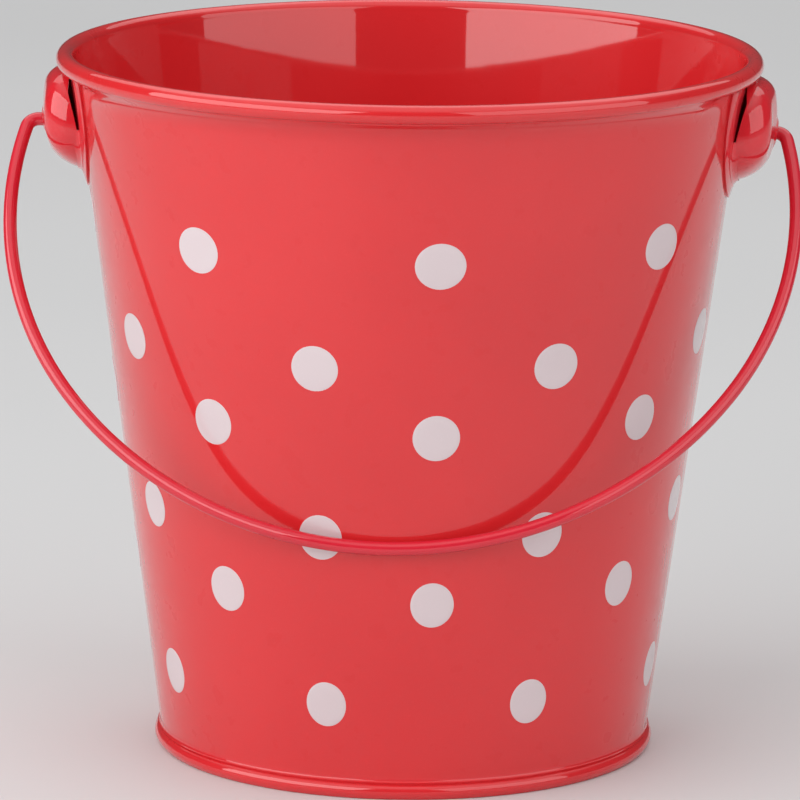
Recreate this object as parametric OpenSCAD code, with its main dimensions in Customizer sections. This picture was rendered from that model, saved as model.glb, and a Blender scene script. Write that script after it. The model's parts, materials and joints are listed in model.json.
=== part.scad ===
// Small tinplate pail with a wire bail: a tapered wall with a curled rim, a bottom disc held in a foot
// seam, two pressed ears welded under the rim and a round-wire bail that swings in the ears.
// Millimetres, +Z up. The origin is the middle of the foot on the ground. The ears lie on the X axis
// and the bail hangs to -Y, resting on the wall.

/* [Wall] */
// Overall height to the top of the rim curl
pail_h = 114; // [112:0.5:118]
// Largest radius of the rim curl
rim_r = 57; // [56:0.1:57.3]
// Radius of the rim curl's round section
curl_r = 1.5; // [1.3:0.1:1.8]
// Outside radius of the wall beside the foot seam
wall_foot_r = 40; // [39.5:0.1:40.4]
// Sheet thickness of the wall and the bottom
sheet_t = 0.3; // [0.25:0.05:0.4]

/* [Foot] */
// How far the foot seam stands out from the wall
seam_out = 0.8; // [0.7:0.05:1]
// Height of the middle of the foot seam's bulge
hem_z = 1.15; // [1.1:0.05:1.3]
// Radius of the foot seam's bulge
hem_r = 1.45; // [1.35:0.05:1.55]
// Underside height of the bottom disc
disc_z = 2.4; // [2.2:0.1:5]

/* [Lock seam] */
// Width of the folded seam down the inside of the wall
fold_w = 4; // [3:0.5:6]
// Thickness the fold adds inside the wall
fold_t = 0.35; // [0.3:0.05:0.6]

/* [Ears] */
// Height of the bail's pivot above the ground
pivot_z = 101.6; // [101:0.1:102.4]
// Radius of the ear plate's round lower edge
plate_r = 15.5; // [15:0.5:18.5]
// Height of the centre of that round edge
plate_z = 106.5; // [105.5:0.5:107.5]
// Sheet thickness of the ear
ear_t = 0.7; // [0.5:0.1:0.8]
// Distance from the pail's axis to the nose of the dome
nose_x = 59.3; // [59:0.1:59.3]
// Radius of the dome where it leaves the plate
dome_r = 10.5; // [10:0.25:12]
// Height of the dome's centre
dome_z = 104.4; // [104:0.1:105.3]
// Radius of the dome's crown
crown_r = 17; // [16:0.5:22]
// Radius of the dome's shoulder
shoulder_r = 3; // [2.5:0.25:3.5]

/* [Bail] */
// Wire diameter, painted
wire_d = 2.2; // [1.8:0.1:2.3]
// Radius of the bail's side curves
side_r = 57; // [57:0.1:59]
// Distance of the side curves' centres from the middle of the bail
side_x = 6.1; // [6.1:0.1:8]
// Drop from the pivot to the centres of the side curves
side_drop = 15.1; // [13:0.1:15.1]
// Angle either side of straight down over which the bail is flatter
low_a = 54; // [45:1:60]
// Radius of the bends beside the ears
bend_r = 2; // [1.5:0.1:2]
// How far the bail has slid sideways in its ears
bail_slide = -0.5; // [-0.5:0.1:0.5]

/* [Hidden] */
$fn = 96;
datum_z = 3.5;                         // height at which wall_foot_r is measured
wall_end = 0.45;                       // lower edge of the wall, inside the foot seam
fit = 0.03;                            // gap on each side of the wall in the foot seam
curl_gap = 0.25;                       // opening left between the curl's edge and the wall
curl_c = [rim_r - curl_r, pail_h - curl_r];
slope = (curl_c[0] - curl_r + sheet_t - wall_foot_r) / (curl_c[1] - datum_z);
hem_c = [wall_foot_r + seam_out - hem_r, hem_z];
fold_a = fold_w / wall_foot_r * 180 / PI;
plate_gap = 0.05;                      // paint line between the ear plate and the wall
plate_a = 25;                          // half the angle the ear plate is cut from
ear_top = pail_h - 2 * curl_r - 0.4;
slot_z = pivot_z + 0.4;                // above this the dome's side stands free of the plate
slot_w = 0.8;
hole_r = wire_d / 2 + 0.14;
lip_r = hole_r + 0.8;
lip_x = nose_x + 0.12;
crown_x = nose_x - crown_r;
shoulder = [dome_r - shoulder_r, sqrt(pow(crown_r - shoulder_r, 2) - pow(dome_r - shoulder_r, 2))];
head_r = 1.75;                         // upset end of the wire that keeps it in the ear
head_x = nose_x - 3.2;
head_t = 1;
bend_x = side_x + sqrt(pow(side_r - bend_r, 2) - pow(side_drop - bend_r, 2));
bend_a = asin((side_drop - bend_r) / (side_r - bend_r));
low_r = side_r + side_x / sin(low_a);  // the flatter curve along the bottom of the bail
low_drop = side_drop - side_x / tan(low_a);
joint_cut = 0.2;                       // each tube stops this far short of the ball's centre
rest_gap = 0.03;                       // between the hanging bail and the wall
rest_reach = wall_foot_r + slope * (pivot_z - datum_z) + (wire_d / 2 + rest_gap) * sqrt(1 + slope * slope);
rest_a = asin(rest_reach / ((low_r + low_drop) * sqrt(1 + slope * slope))) - atan(slope);

// Outside radius of the wall at height z.
function wall_r(z) = wall_foot_r + slope * (z - datum_z);

// Angle that joint_cut takes up on an arc of radius r.
function arc_a(r) = joint_cut / r * 180 / PI;

// Section of a band that follows the wall from z0 to z1, between two offsets from its outside face.
module band(z0, z1, r0, r1)
    polygon([[wall_r(z0) + r0, z0], [wall_r(z0) + r1, z0], [wall_r(z1) + r1, z1], [wall_r(z1) + r0, z1]]);

// Tapered wall. The rim is curled outwards and the lock seam is folded inside, under the right ear.
module wall()
    color("firebrick") {
        rotate_extrude() {
            band(wall_end, curl_c[1] + 0.1, -sheet_t, 0);
            difference() {
                translate(curl_c) circle(r = curl_r);
                translate(curl_c) circle(r = curl_r - sheet_t);
                band(curl_c[1] - 2 * curl_r, curl_c[1], -2 * curl_r, curl_gap);
            }
        }
        rotate([0, 0, -fold_a / 2]) rotate_extrude(angle = fold_a)
            band(disc_z + 1, curl_c[1] - 2 * curl_r, -sheet_t - fold_t, -sheet_t / 2);
    }

// Bottom disc, turned down inside the wall and folded up round its edge into the foot seam.
module base()
    color("indianred") rotate_extrude() difference() {
        union() {
            intersection() {
                translate(hem_c) circle(r = hem_r);
                translate([hem_c[0] - 0.2, 0]) square([3, 3]);
            }
            translate([wall_r(0) - 2 * sheet_t, 0]) square([hem_c[0] - wall_r(0) + 2 * sheet_t, sheet_t]);
            band(0, disc_z + sheet_t, -2 * sheet_t - fit, -sheet_t - fit);
            translate([0, disc_z]) square([wall_r(disc_z) - 1.5 * sheet_t - fit, sheet_t]);
        }
        band(sheet_t, datum_z, -sheet_t - fit, fit);
    }

// Solid of revolution round the ear's nose, set in from its outside face by d.
module dome_form(d)
    translate([0, 0, dome_z]) rotate([0, 90, 0]) rotate_extrude() {
        intersection() {
            translate([0, crown_x]) circle(r = crown_r - d);
            translate([0, crown_x]) polygon([[0, 0], 2 * shoulder, [0, 2 * shoulder[1]]]);
        }
        translate([shoulder[0], crown_x + shoulder[1]]) circle(r = shoulder_r - d);
        translate([0, crown_x]) square([dome_r - d, shoulder[1]]);
    }

// Ear on the +X side: a plate on the wall and a hollow dome pressed out of it. The dome's sides stand
// free of the plate above the pivot and its top is open under the rim.
module ear() {
    difference() {
        intersection() {
            rotate([0, 0, -plate_a]) rotate_extrude(angle = 2 * plate_a)
                band(plate_z - plate_r - 1, ear_top, plate_gap, plate_gap + ear_t);
            translate([0, 0, plate_z]) rotate([0, 90, 0]) cylinder(r = plate_r, h = rim_r + 10);
        }
        dome_form(ear_t);
    }
    difference() {
        union() {
            dome_form(0);
            translate([lip_x - 1.1, 0, pivot_z]) rotate([0, 90, 0]) cylinder(r = lip_r, h = 1.1);
        }
        dome_form(ear_t);
        rotate_extrude() band(plate_z - 25, plate_z + 15, -wall_r(plate_z - 25), plate_gap + ear_t / 2);
        rotate_extrude() polygon([
            [wall_r(slot_z) + plate_gap + ear_t, slot_z],
            [wall_r(ear_top + 1) + plate_gap + ear_t + slot_w, ear_top + 1],
            [wall_r(slot_z) - 5, ear_top + 1], [wall_r(slot_z) - 5, slot_z]]);
        translate([crown_x, -20, ear_top]) cube([30, 40, 20]);
        translate([nose_x - 3, 0, pivot_z]) rotate([0, 90, 0]) cylinder(r = hole_r, h = 6);
    }
}

module ear_right() color("brown") ear();

module ear_left() color("brown") rotate([0, 0, 180]) ear();

// Half of the bail on the +X side: upset head, pivot, the bend down and the side curve. A ball just proud
// of the wire joins each curve to the next, so that two tubes never meet edge on.
module bail_side() {
    translate([head_x, 0, 0]) rotate([0, 90, 0]) cylinder(r = head_r, h = head_t, $fn = 32);
    translate([head_x + head_t, 0, 0]) rotate([0, 90, 0])
        cylinder(d = wire_d, h = bend_x - head_x - head_t, $fn = 32);
    translate([bend_x, 0, -bend_r]) rotate([90, 0, 0]) {
        rotate([0, 0, bend_a + arc_a(bend_r)]) rotate_extrude(angle = 90 - bend_a - arc_a(bend_r))
            translate([bend_r, 0]) circle(d = wire_d, $fn = 32);
        rotate([0, 0, bend_a]) translate([bend_r, 0, 0]) sphere(d = wire_d + 0.1, $fn = 32);
    }
    translate([side_x, 0, -side_drop]) rotate([90, 0, 0]) {
        rotate([0, 0, low_a - 90 + arc_a(side_r)])
            rotate_extrude(angle = 90 - low_a + bend_a - 2 * arc_a(side_r))
                translate([side_r, 0]) circle(d = wire_d, $fn = 32);
        rotate([0, 0, low_a - 90]) translate([side_r, 0, 0]) sphere(d = wire_d + 0.1, $fn = 32);
    }
}

// Wire bail. It is drawn hanging straight down from its pivot and then leant back onto the wall.
module bail()
    color("crimson") translate([bail_slide, 0, pivot_z]) rotate([-rest_a, 0, 0]) {
        bail_side();
        mirror([1, 0, 0]) bail_side();
        translate([0, 0, -low_drop]) rotate([90, 0, 0]) rotate([0, 0, 270 - low_a + arc_a(low_r)])
            rotate_extrude(angle = 2 * low_a - 2 * arc_a(low_r))
                translate([low_r, 0]) circle(d = wire_d, $fn = 32);
    }

wall();
base();
ear_left();
ear_right();
bail();
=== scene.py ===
"""Looks of the small tinplate pail: enamelled wall, foot, ears and wire bail, with printed dots."""
import json
import math

import bmesh
import bpy
from mathutils import Matrix, Vector


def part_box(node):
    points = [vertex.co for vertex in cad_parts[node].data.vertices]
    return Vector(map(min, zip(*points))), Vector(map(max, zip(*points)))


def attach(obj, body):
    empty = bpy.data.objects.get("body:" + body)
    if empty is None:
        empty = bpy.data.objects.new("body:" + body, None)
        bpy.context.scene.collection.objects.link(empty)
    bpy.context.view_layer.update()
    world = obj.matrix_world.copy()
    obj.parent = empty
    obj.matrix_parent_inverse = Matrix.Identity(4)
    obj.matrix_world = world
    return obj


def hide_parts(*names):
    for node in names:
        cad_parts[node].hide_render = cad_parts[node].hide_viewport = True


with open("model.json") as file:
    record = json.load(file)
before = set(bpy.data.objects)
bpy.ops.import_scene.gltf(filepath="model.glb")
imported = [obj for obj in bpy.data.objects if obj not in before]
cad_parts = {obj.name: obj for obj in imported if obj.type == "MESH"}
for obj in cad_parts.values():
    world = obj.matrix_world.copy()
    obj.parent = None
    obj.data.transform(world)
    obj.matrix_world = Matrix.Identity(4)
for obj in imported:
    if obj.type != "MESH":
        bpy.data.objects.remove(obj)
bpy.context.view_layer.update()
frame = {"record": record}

MM = 0.001

# ---------------------------------------------------------------- sizes, in millimetres
wall_hi, ear_hi, base_hi = (Vector(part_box(node)[1]) / MM for node in ("wall", "ear_right", "base"))
PIVOT_Z = frame["record"]["behaviour"]["joints"][0]["pos_m"][2] / MM
TOP_Z = wall_hi.z
RIM_R = wall_hi.y
CURL_R = 1.5
SHEET = 0.3                                  # thickness of the wall and the bottom
FOOT_R = base_hi.y
WALL_FOOT_R, DATUM_Z = 40.0, 3.5             # the wall's outside radius just above the foot seam
CURL_C = (RIM_R - CURL_R, TOP_Z - CURL_R)
SLOPE = (CURL_C[0] - CURL_R + SHEET - WALL_FOOT_R) / (CURL_C[1] - DATUM_Z)
DISC_Z = 2.4                                 # underside of the bottom disc
FOLD_HALF = math.degrees(2.0 / WALL_FOOT_R)  # half the lock seam's width, round the wall
WIRE_R = 1.1
SIDE_R, SIDE_X, SIDE_DROP = 57.0, 6.1, 15.1  # the bail's side arcs: radius, centre out from the middle and down
LOW_A = 54.0                                 # where they meet its bottom arc, in degrees from straight out
BEND_R = 2.0                                 # the bail's bend outside each ear
BAIL_SLIDE = -0.5                            # how far the wire sits to one side in its holes
NOSE_X = 59.3                                # outermost face of the ears
VIEW_TURN = 3.0  # degrees from -Y round to the camera; the dots and the lights turn with it


def wall_r(z):
    """Outside radius of the wall at height z."""
    return WALL_FOOT_R + SLOPE * (z - DATUM_Z)


def clamp(value):
    """The value, kept between 0 and 1."""
    return min(1.0, max(0.0, value))


def arc(cx, cy, r, a0, a1, n):
    """Points of an arc in a section, angles in degrees."""
    return [(cx + r * math.cos(math.radians(a0 + (a1 - a0) * i / n)),
             cy + r * math.sin(math.radians(a0 + (a1 - a0) * i / n))) for i in range(n + 1)]


SHARP = 40.0  # edges that turn by more degrees than this stay sharp


def make_object(name, verts, faces, sharp=SHARP):
    """Mesh object from millimetre points, smooth shaded with its sharp edges kept."""
    mesh = bpy.data.meshes.new(name)
    mesh.from_pydata([Vector(v) * MM for v in verts], [], faces)
    bm = bmesh.new()
    bm.from_mesh(mesh)
    bmesh.ops.remove_doubles(bm, verts=bm.verts, dist=1e-7)
    bmesh.ops.dissolve_degenerate(bm, edges=bm.edges, dist=1e-8)
    bmesh.ops.recalc_face_normals(bm, faces=bm.faces)
    bm.to_mesh(mesh)
    bm.free()
    mesh.shade_smooth()
    mesh.set_sharp_from_angle(angle=math.radians(sharp))
    obj = bpy.data.objects.new(name, mesh)
    bpy.context.scene.collection.objects.link(obj)
    return obj


def lathe(name, section, angles, shift, closed=True):
    """Revolves a section of (r, z) points round Z. shift(i, angle) moves point i outwards."""
    verts, faces, m, n = [], [], len(section), len(angles)
    for a in angles:
        c, s = math.cos(math.radians(a)), math.sin(math.radians(a))
        for i, (r, z) in enumerate(section):
            rr = r + shift(i, a)
            verts.append((rr * c, rr * s, z))
    for j in range(n):
        k = (j + 1) % n
        for i in range(m if closed else m - 1):
            h = (i + 1) % m
            faces.append((j * m + i, k * m + i, k * m + h, j * m + h))
    return make_object(name, verts, faces)


def applied(obj):
    """Bakes an object's modifiers into its mesh."""
    graph = bpy.context.evaluated_depsgraph_get()
    mesh = bpy.data.meshes.new_from_object(obj.evaluated_get(graph))
    obj.modifiers.clear()
    obj.data = mesh
    mesh.shade_smooth()
    mesh.set_sharp_from_angle(angle=math.radians(SHARP))


# ---------------------------------------------------------------- materials
def nodes_of(name):
    """A new material with its node tree and its main shader."""
    mat = bpy.data.materials.new(name)
    mat.use_nodes = True
    tree = mat.node_tree
    return mat, tree, tree.nodes["Principled BSDF"]


def add(tree, kind, **inputs):
    """Adds a node and sets its inputs. An underscore in a key stands for a space in the input's name."""
    node = tree.nodes.new(kind)
    for key, value in inputs.items():
        node.inputs[key.replace("_", " ")].default_value = value
    return node


def noise(tree, coord, scale, detail):
    node = add(tree, "ShaderNodeTexNoise", Scale=scale, Detail=detail, Roughness=0.5)
    tree.links.new(coord, node.inputs["Vector"])
    return node.outputs["Fac"]


def remap(tree, value, a0, a1, b0, b1):
    """Maps a value from the range a0 to a1 onto b0 to b1, clamped."""
    node = tree.nodes.new("ShaderNodeMapRange")
    for key, v in (("From Min", a0), ("From Max", a1), ("To Min", b0), ("To Max", b1)):
        node.inputs[key].default_value = v
    tree.links.new(value, node.inputs["Value"])
    return node.outputs["Result"]


def mix_colour(tree, fac, a, b):
    """Mixes two colours. Each is a tuple or another node's output."""
    node = tree.nodes.new("ShaderNodeMix")
    node.data_type = "RGBA"
    for key, v in (("A", a), ("B", b)):
        socket = next(s for s in node.inputs if s.name == key and s.type == "RGBA")
        if isinstance(v, tuple):
            socket.default_value = (*v, 1.0)
        else:
            tree.links.new(v, socket)
    tree.links.new(fac, node.inputs["Factor"])
    return next(s for s in node.outputs if s.type == "RGBA")


def bump(tree, height, distance, normal=None):
    """Bump from a height, this far in metres, on top of another normal if one is given."""
    node = add(tree, "ShaderNodeBump", Strength=1.0, Distance=distance)
    tree.links.new(height, node.inputs["Height"])
    if normal is not None:
        tree.links.new(normal, node.inputs["Normal"])
    return node.outputs["Normal"]


def enamel(name, deep, bright, rough=(0.26, 0.36), peel=6e-6, wave=1.2e-5):
    """Stoved gloss enamel: two close shades, a fine orange peel and a clear, sharp coat."""
    mat, tree, bsdf = nodes_of(name)
    coord = tree.nodes.new("ShaderNodeTexCoord").outputs["Object"]
    cloud = remap(tree, noise(tree, coord, 22.0, 3.0), 0.35, 0.65, 0.0, 1.0)
    shade = mix_colour(tree, cloud, deep, bright)
    grain = remap(tree, noise(tree, coord, 2600.0, 1.0), 0.62, 0.78, 0.0, 0.10)
    shade = mix_colour(tree, grain, shade, tuple(min(1.0, c * 1.25 + 0.02) for c in bright))
    tree.links.new(shade, bsdf.inputs["Base Color"])
    tree.links.new(remap(tree, noise(tree, coord, 240.0, 3.0), 0.3, 0.7, *rough), bsdf.inputs["Roughness"])
    normal = bump(tree, noise(tree, coord, 70.0, 2.0), wave)
    normal = bump(tree, noise(tree, coord, 900.0, 1.5), peel, normal=normal)
    tree.links.new(normal, bsdf.inputs["Normal"])
    coat = bump(tree, noise(tree, coord, 90.0, 2.0), wave)
    tree.links.new(coat, bsdf.inputs["Coat Normal"])
    bsdf.inputs["Coat Weight"].default_value = 1.0
    bsdf.inputs["Coat Roughness"].default_value = 0.035
    bsdf.inputs["Coat IOR"].default_value = 1.6
    bsdf.inputs["Specular IOR Level"].default_value = 0.05
    return mat


wall_paint = enamel("enamel_wall", (0.66, 0.0195, 0.0235), (0.71, 0.0225, 0.0265))
base_paint = enamel("enamel_base", (0.66, 0.018, 0.024), (0.71, 0.022, 0.028))
ear_paint = enamel("enamel_ear", (0.68, 0.016, 0.026), (0.73, 0.020, 0.032), peel=4e-6, wave=8e-6)
wire_paint = enamel("enamel_wire", (0.62, 0.013, 0.031), (0.68, 0.017, 0.037), peel=3e-6, wave=6e-6)
dot_paint = enamel("dot_ink", (0.66, 0.55, 0.57), (0.70, 0.59, 0.61), rough=(0.3, 0.4))


def finished(obj, body, mat, slot, *nodes):
    """Paints a piece and ties it to its body and the CAD nodes it takes the place of. The slot argument is not
    used.
    """
    obj.data.materials.clear()
    obj.data.materials.append(mat)
    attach(obj, body)
    if nodes:
        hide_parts(*nodes)


# ---------------------------------------------------------------- wall, with its curl and lock seam
def around_seam(step):
    """Angles round the pail with extra ones at the edges of the lock seam on +X."""
    near = [-4.2, -3.6, -3.3, -3.1, -2.95, -2.8, -2.6, -1.5, 0.0, 1.5, 2.6, 2.8, 2.95, 3.1, 3.3, 3.6, 4.2]
    return near + [a for a in [4.2 + step * i for i in range(1, int(360 / step))] if 5 < a < 355.2]


SWEEP_Z, SWEEP_H, SWEEP_R = 107.4, 3.6, 4.5  # the wall's sweep outwards into the root of the curl
SWEEP_END = 111.2                            # above this it is hidden in the curl
SEAM_EDGE = -2.95                            # angle of the lock seam's open edge
FOLD_DEPTH = 0.35                            # how far the folded seam stands in


def wall_piece():
    """Tapered wall in closer steps near the top, then the curl, as one closed section."""
    cx, cz = CURL_C
    half, low, close = SHEET / 2, 0.45, 106.4
    heights = [low + (close - low) * i / 38 for i in range(39)] + [close + 0.4 * i for i in range(1, 15)]
    sheet = [(wall_r(z) - half, z) for z in heights]
    sheet += arc(cx, cz, CURL_R - half, 180, -150, 44)
    outer, inner = [], []
    for i, (r, z) in enumerate(sheet):
        a, b = sheet[max(i - 1, 0)], sheet[min(i + 1, len(sheet) - 1)]
        d = Vector((b[0] - a[0], b[1] - a[1])).normalized()
        outer.append((r + d.y * half, z - d.x * half))
        inner.append((r - d.y * half, z + d.x * half))
    section = outer + inner[::-1]

    def shift(i, a):
        """A slight dent all round, the sweep under the curl between the ears, and the lock seam."""
        a = (a + 180) % 360 - 180
        r, z = section[i]
        inside = i >= len(outer)
        dent = 0.03 * math.sin(math.radians(3 * a + 40)) * math.sin(math.pi * min(z, 108) / 114)
        if i < len(heights) and z > SWEEP_Z:
            off_ear = clamp((min(abs(a), 180 - abs(a)) - 18) / 12)
            up = min(z - SWEEP_Z, SWEEP_H)
            hidden = min(1.0, (cz - z) / (cz - SWEEP_END))
            dent += (SWEEP_R - math.sqrt(SWEEP_R ** 2 - up ** 2)) * off_ear * hidden
        if z > cz - 2.2 * CURL_R:
            joint = math.exp(-((a - SEAM_EDGE) / 0.22) ** 2)
            return dent if inside else dent - 0.10 * joint * (1 if r > cx else -1)
        ends = min(clamp(z - DISC_Z - 1), clamp(cz - 3.2 - z))
        if inside:
            return dent - FOLD_DEPTH * clamp((FOLD_HALF + 0.05 - abs(a)) / 0.3) * ends
        return dent - 0.12 * math.exp(-((a - SEAM_EDGE) / 0.2) ** 2) * ends

    return lathe("pail_wall", section, around_seam(1.5), shift)


finished(wall_piece(), "pail", wall_paint, "enamel_wall", "wall")


# ---------------------------------------------------------------- bottom disc and foot seam
def base_piece():
    """Bottom disc, the gutter round it and the foot seam folded over the wall's edge."""
    t, z = SHEET, DISC_Z
    r_in = wall_r(0) - 2 * t - 0.03
    leg = wall_r(z) - t - 0.03
    hem_r = 1.3
    cx = FOOT_R - hem_r
    section = [(0.0, z), (12.0, z), (26.0, z), (r_in - 1.2, z)]
    section += arc(r_in - 0.5, z - 0.5, 0.5, 90, 0, 5)
    section += [(r_in, 1.2)] + arc(r_in + 0.3, 0.3, 0.3, 180, 270, 5)
    section += [(40.0, 0.0)] + arc(40.1, 0.35, 0.35, -90, -35, 4)
    section += arc(cx, 1.2, hem_r, -28, 62, 14)
    section += [(wall_r(2.62) + 0.34, 2.60)] + arc(wall_r(3.1) + 0.55, 3.22, 0.5, 250, 188, 7)
    section += [(wall_r(3.55) + 0.012, 3.62), (wall_r(3.4) - 0.1, 3.4), (wall_r(0.4) + 0.02, 0.42)]
    section += [(wall_r(0.4) - t - 0.02, 0.42), (leg, z)]
    section += arc(leg - 0.35, z + t + 0.35, 0.35, 0, -90, 5)
    section += [(26.0, z + t), (12.0, z + t), (0.0, z + t)]

    def shift(i, a):
        return 0.02 * math.sin(math.radians(2 * a + 70)) if section[i][0] > 30 else 0.0

    return lathe("pail_bottom", section, [i * 2.0 for i in range(180)], shift, closed=False)


finished(base_piece(), "pail", base_paint, "enamel_base", "base")


# ---------------------------------------------------------------- ears
EAR_T = 0.7
EAR_TOP = ear_hi.z
PLATE_GAP = 0.05                              # between the wall and the plate
PLATE_C, PLATE_R = 106.5, 15.5                # height of the plate's centre, and its radius
PLATE_SINK = 0.15                             # how far the plate's back runs on into the wall
EDGE_THINNED = 0.42                           # how much thinner the plate is at its edge
CROWN_Z, CROWN_R = 104.4, 21.0                # the dome's curve up and down: height of its crown, and radius
CROWN_DROP, CROWN_Y = 0.85, 8.0               # its fall towards the sides, reached this far out
DOME_Y = 11.8                                 # half width of the dome's outline
DOME_DOWN, DOME_UP = (1.9, 7.7), (2.2, 11.2)  # power and height of the outline's lower and upper half
SHOULDER_R, TOP_SHOULDER_R = 4.3, 2.5
SLOT_Z, SLOT_W = PIVOT_Z + 0.4, 0.35          # the dome is free of the plate above this height, by this gap
FILLET_R = 1.1                                # where it is joined to the plate
LIP = ((1.18, -0.05), (1.22, 0.10), (1.36, 0.22), (1.6, 0.28), (1.9, 0.26), (2.2, 0.17), (2.5, 0.06),
       (2.9, 0.0))  # distance from the pivot and height of the raised lip round the hole


def plate_x(y, z, thinned=0.0):
    """Outer face of the ear plate, which thins out by this much towards its edge."""
    return math.sqrt((wall_r(z) + PLATE_GAP + EAR_T - thinned) ** 2 - y * y)


def crown_x(y, z):
    """Face of the dome before its shoulder."""
    return (NOSE_X - (CROWN_R - math.sqrt(CROWN_R ** 2 - (z - CROWN_Z) ** 2))
            - CROWN_DROP * math.sin(math.pi / 2 * min(1.0, abs(y) / CROWN_Y)) ** 2)


def dome_reach(c, s):
    """Distance from the pivot to the dome's outline along a direction: an oval, flattened under the rim."""
    n, b = DOME_DOWN if s < 0 else DOME_UP
    reach = ((abs(c) / DOME_Y) ** n + (abs(s) / b) ** n) ** (-1 / n)
    if s > 0:
        reach = (reach ** -10 + ((EAR_TOP - PIVOT_Z) / s) ** -10) ** -0.1
    return reach


def plate_reach(c, s):
    """Distance from the pivot to the plate's outline along a direction."""
    d = PIVOT_Z - PLATE_C
    reach = -d * s + math.sqrt(PLATE_R ** 2 - d * d * c * c)
    if s > 0:
        reach = min(reach, (EAR_TOP - PIVOT_Z) / s)
    return reach


def ear_column(c, s):
    """Points outwards from the wire hole along one direction: the dome's, the fillet's and the plate's."""
    reach, edge = dome_reach(c, s), plate_reach(c, s)
    z_out = PIVOT_Z + reach * s
    joined = z_out < SLOT_Z
    fillet = min(FILLET_R, SLOT_W + 0.25 * (SLOT_Z - z_out)) if joined else 0.0
    shoulder = SHOULDER_R - (SHOULDER_R - TOP_SHOULDER_R) * max(0.0, s) ** 2

    def point(rho, x):
        return (x, rho * c, PIVOT_Z + rho * s)

    def on_crown(rho, raised):
        return point(rho, crown_x(rho * c, PIVOT_Z + rho * s) + raised)

    def on_plate(rho, raised, thinned=0.0):
        return point(rho, plate_x(rho * c, PIVOT_Z + rho * s, thinned) + raised)

    dome = [on_crown(rho, raised) for rho, raised in LIP]
    lip = LIP[-1][0]
    dome += [on_crown(lip + (reach - shoulder - lip) * i / 10, 0.0) for i in range(1, 11)]
    for i in range(1, 11):
        b = math.radians(90 - 9 * i)
        dome.append(on_crown(reach - shoulder * (1 - math.cos(b)), -shoulder * (1 - math.sin(b))))
    x_side = dome[-1][0]
    off_plate = fillet if joined else SLOT_W + 0.09 * (z_out - SLOT_Z)
    x_end = min(plate_x(reach * c, min(z_out, EAR_TOP)) + off_plate, x_side - 0.05)
    dome += [point(reach, x_side + (x_end - x_side) * i / 3) for i in (1, 2, 3)]

    foot, plate = [], []
    if joined:
        for i in range(1, 6):
            b = math.radians(18 * i)
            foot.append(on_plate(reach + fillet * (1 - math.cos(b)), fillet * (1 - math.sin(b))))
    if edge > reach + 0.35:
        start = reach + fillet if joined else reach - 0.9
        for i in range(9):
            rho = start + (edge - start) * i / 8
            plate.append(on_plate(rho, 0.0, EDGE_THINNED * max(0.0, 1 - (edge - rho) / 2.2) ** 1.5))
    return dome, foot, plate


def thickened(obj):
    """Gives the ear's outer surface its thickness, with the plate's back just inside the wall."""
    most = EAR_T + PLATE_SINK
    stock = obj.vertex_groups.new(name="stock")
    for v in obj.data.vertices:
        proud = math.hypot(v.co.x, v.co.y) / MM - wall_r(v.co.z / MM) - PLATE_GAP
        if proud < EAR_T:
            thick = proud + PLATE_SINK
        else:
            thick = EAR_T + PLATE_SINK * max(0.0, 1 - (proud - EAR_T) / 0.5)
        stock.add([v.index], max(0.1, min(1.0, thick / most)), "REPLACE")
    skin = obj.modifiers.new("skin", "SOLIDIFY")
    skin.thickness, skin.offset, skin.vertex_group = most * MM, -1.0, "stock"
    soft = obj.modifiers.new("soft", "BEVEL")
    soft.width, soft.segments, soft.limit_method = 0.13 * MM, 3, "ANGLE"
    soft.angle_limit = math.radians(50)
    applied(obj)


def ear_piece(name, side):
    """One pressed ear, built in columns round the wire hole."""
    columns = 144
    verts, faces, index = [], [], []
    for j in range(columns):
        phi = 2 * math.pi * (j + 0.5) / columns - math.pi / 2
        index.append([])
        for part in ear_column(math.cos(phi), math.sin(phi)):
            index[-1].append(range(len(verts), len(verts) + len(part)))
            verts += part
    for j in range(columns):
        here, following = index[j], index[(j + 1) % columns]
        for p, q in zip(here, following):
            if p and q:
                faces += [(p[i], q[i], q[i + 1], p[i + 1]) for i in range(len(p) - 1)]
        (dome, foot, plate), (dome2, foot2, plate2) = here, following
        if foot and foot2:
            faces.append((dome[-1], dome2[-1], foot2[0], foot[0]))
            if plate and plate2:
                faces.append((foot[-1], foot2[-1], plate2[0], plate[0]))
    obj = make_object(name, verts, faces)
    bm = bmesh.new()
    bm.from_mesh(obj.data)
    if sum(f.normal.x * f.calc_area() for f in bm.faces) < 0:
        bmesh.ops.reverse_faces(bm, faces=bm.faces)
    bm.to_mesh(obj.data)
    bm.free()
    thickened(obj)
    if side < 0:
        obj.data.transform(Matrix.Rotation(math.pi, 4, "Z"))
    return obj


finished(ear_piece("right_ear", 1), "pail", ear_paint, "enamel_ear", "ear_right")
finished(ear_piece("left_ear", -1), "pail", ear_paint, "enamel_ear", "ear_left")


# ---------------------------------------------------------------- bail
BAIL_HEAD = ((0.0, 0.5), (0.02, 1.1), (0.14, 1.55), (0.35, 1.72), (0.65, 1.72), (0.88, 1.5), (0.98, 1.25),
             (1.1, WIRE_R), (1.8, WIRE_R), (2.6, WIRE_R))  # distance out and radius, of the upset end


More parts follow.
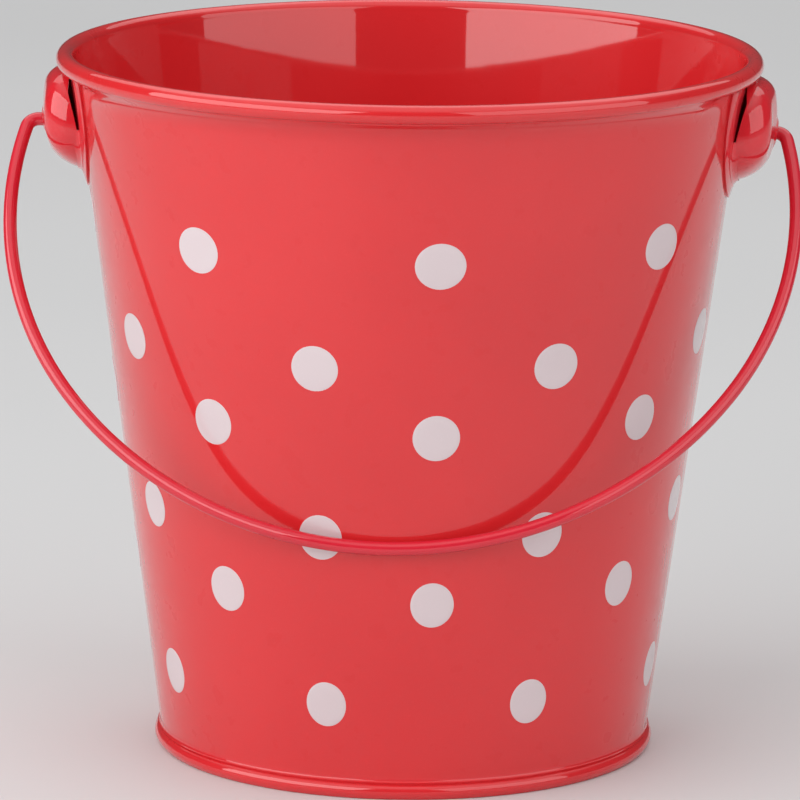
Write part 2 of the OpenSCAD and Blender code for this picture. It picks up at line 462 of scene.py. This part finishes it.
def bail_half():
    """Right half of the hanging bail's centre line as (x, drop, wire radius), from its head to the bottom."""
    bx = SIDE_X + math.sqrt((SIDE_R - BEND_R) ** 2 - (SIDE_DROP - BEND_R) ** 2)
    ba = math.degrees(math.asin((SIDE_DROP - BEND_R) / (SIDE_R - BEND_R)))
    low_r = SIDE_R + SIDE_X / math.sin(math.radians(LOW_A))
    low_drop = SIDE_DROP - SIDE_X / math.tan(math.radians(LOW_A))
    head = NOSE_X - 3.2
    out = [(head + dx, 0.0, r) for dx, r in BAIL_HEAD]
    for cx, cd, r, a0, a1, n in ((bx, BEND_R, BEND_R, 90.0, ba, 12),
                                 (SIDE_X, SIDE_DROP, SIDE_R, ba, LOW_A - 90, 44),
                                 (0.0, low_drop, low_r, LOW_A - 90, -90.0, 34)):
        first = 0 if r == BEND_R else 1
        for i in range(first, n + 1):
            t = math.radians(a0 + (a1 - a0) * i / n)
            out.append((cx + r * math.cos(t), cd - r * math.sin(t), WIRE_R))
    return out, low_r + low_drop


def bail_piece():
    """The wire, swung forward until it rests on the wall."""
    half, drop = bail_half()
    path = half + [(-x, v, r) for x, v, r in half[:-1][::-1]]
    lean = math.sqrt(1 + SLOPE ** 2)
    reach = wall_r(PIVOT_Z) + (WIRE_R + 0.03) * lean
    rest = math.asin(reach / (drop * lean)) - math.atan(SLOPE)
    turn, ring = Matrix.Rotation(-rest, 3, "X"), 28
    verts, faces = [], []
    pts = [Vector((x, 0, -v)) for x, v, _ in path]
    for i, p in enumerate(pts):
        d = (pts[min(i + 1, len(pts) - 1)] - pts[max(i - 1, 0)]).normalized()
        n = Vector((0, 1, 0))
        b = d.cross(n)
        for k in range(ring):
            a = 2 * math.pi * k / ring
            q = turn @ (p + (b * math.cos(a) + n * math.sin(a)) * path[i][2])
            verts.append((q.x + BAIL_SLIDE, q.y, q.z + PIVOT_Z))
    for i in range(len(pts) - 1):
        for k in range(ring):
            h = (k + 1) % ring
            faces.append((i * ring + k, i * ring + h, (i + 1) * ring + h, (i + 1) * ring + k))
    faces.append(tuple(range(ring)))
    faces.append(tuple(range(len(verts) - ring, len(verts))))
    return make_object("wire_bail", verts, faces)


finished(bail_piece(), "bail", wire_paint, "enamel_wire", "bail")


# ---------------------------------------------------------------- printed dots
DOT_ROWS = (88.1, 71.0, 60.2, 43.3, 32.6, 15.4)  # heights of the rows
DOT_START = (51.3, 74.1)                         # angle of the first dot in even and in odd rows
DOT_PITCH = 45.6                                 # degrees from one dot to the next
DOT_COUNT = 8
DOT_HEIGHT, DOT_ANGLE = 3.7, 4.5                 # half sizes, upwards in millimetres and round in degrees
DOT_RINGS = ((0.25, 0.05), (0.55, 0.05), (0.85, 0.05), (0.975, 0.045), (1.0, 0.02), (1.0, -0.08))


def dots_piece():
    """Six staggered rows of oval dots. Each is a thin disc on the wall, in rings from its middle outwards."""
    verts, faces, segs = [], [], 40
    for row, z0 in enumerate(DOT_ROWS):
        for k in range(DOT_COUNT):
            centre = DOT_START[row % 2] - DOT_PITCH * k - 90 + VIEW_TURN
            start = len(verts)
            for rho, lift in DOT_RINGS:
                for i in range(segs):
                    t = 2 * math.pi * i / segs
                    z = z0 + DOT_HEIGHT * rho * math.sin(t)
                    a = math.radians(centre + DOT_ANGLE * rho * math.cos(t))
                    r = wall_r(z) + lift
                    verts.append((r * math.cos(a), r * math.sin(a), z))
            for q in range(len(DOT_RINGS) - 1):
                s = start + q * segs
                faces += [(s + i, s + (i + 1) % segs, s + segs + (i + 1) % segs, s + segs + i)
                          for i in range(segs)]
            last = start + (len(DOT_RINGS) - 1) * segs
            faces.append(tuple(start + i for i in range(segs)))
            faces.append(tuple(last + i for i in reversed(range(segs))))
    return make_object("printed_dots", verts, faces, sharp=60)


finished(dots_piece(), "pail", dot_paint, "dot_ink")


# ---------------------------------------------------------------- camera
def camera():
    """Long lens from about a metre, looking 12 degrees down, a little towards the right ear's side."""
    turn, pitch, yaw, roll = math.radians(VIEW_TURN), 0.20764, -0.00103, 0.0101
    distance, height = 1.02726, 0.27276
    fwd = Vector((math.sin(yaw) * math.cos(pitch), math.cos(yaw) * math.cos(pitch), -math.sin(pitch)))
    right = Vector((math.cos(yaw), -math.sin(yaw), 0))
    up = right.cross(fwd)
    x = right * math.cos(roll) + up * math.sin(roll)
    y = up * math.cos(roll) - right * math.sin(roll)
    spin = Matrix.Rotation(turn, 3, "Z")
    axes = Matrix([spin @ x, spin @ y, spin @ -fwd]).transposed().to_4x4()
    data = bpy.data.cameras.new("camera")
    data.sensor_width, data.lens, data.clip_start, data.clip_end = 36.0, 290.0, 0.05, 30.0
    cam = bpy.data.objects.new("camera", data)
    cam.matrix_world = Matrix.Translation(spin @ Vector((0, -distance, height))) @ axes
    bpy.context.scene.collection.objects.link(cam)
    bpy.context.scene.camera = cam


camera()


# ---------------------------------------------------------------- studio
def softbox(name, azimuth, elevation, distance, width, height, radiance):
    """Rectangular light facing the pail. Azimuth 0 is the camera's side, positive to its right."""
    a, e = math.radians(azimuth - 90 + VIEW_TURN), math.radians(elevation)
    data = bpy.data.lights.new(name, "AREA")
    data.shape, data.size, data.size_y = "RECTANGLE", width, height
    data.energy = radiance * math.pi * width * height
    panel = bpy.data.objects.new(name, data)
    toward = Vector((math.cos(a) * math.cos(e), math.sin(a) * math.cos(e), math.sin(e)))
    turn = (-toward).to_track_quat("-Z", "Y").to_matrix().to_4x4()
    panel.matrix_world = Matrix.Translation(Vector((0, 0, 0.08)) + toward * distance) @ turn
    bpy.context.scene.collection.objects.link(panel)


def studio():
    """Three panels, a sky that is bright overhead only, and a pale floor."""
    scene = bpy.context.scene
    scene.view_settings.view_transform = "Standard"
    world = bpy.data.worlds.new("studio")
    scene.world = world
    world.use_nodes = True
    tree = world.node_tree
    back = tree.nodes["Background"]
    split = tree.nodes.new("ShaderNodeSeparateXYZ")
    tree.links.new(tree.nodes.new("ShaderNodeTexCoord").outputs["Generated"], split.inputs[0])
    overhead = remap(tree, split.outputs["Z"], 0.55, 0.85, 0.0, 1.0)
    tree.links.new(mix_colour(tree, overhead, (0.07, 0.07, 0.07), (1.0, 1.0, 1.01)), back.inputs["Color"])
    softbox("right_panel", 50, 22, 0.8, 0.94, 0.578, 1.6)
    softbox("left_panel", -55, 23, 0.8, 1.12, 0.558, 3.0)
    softbox("backdrop_panel", 180, 52, 1.55, 2.4, 1.2, 0.85)
    mesh = bpy.data.meshes.new("floor")
    s = 4.0
    mesh.from_pydata([(-s, -s, 0), (s, -s, 0), (s, s, 0), (-s, s, 0)], [], [(0, 1, 2, 3)])
    floor = bpy.data.objects.new("floor", mesh)
    scene.collection.objects.link(floor)
    mat, tree, bsdf = nodes_of("pale_floor")
    coord = tree.nodes.new("ShaderNodeTexCoord").outputs["Object"]
    tone = remap(tree, noise(tree, coord, 3.0, 2.0), 0.3, 0.7, 0.0, 1.0)
    tree.links.new(mix_colour(tree, tone, (0.64, 0.64, 0.64), (0.67, 0.67, 0.67)), bsdf.inputs["Base Color"])
    bsdf.inputs["Roughness"].default_value = 0.65
    mesh.materials.append(mat)


studio()
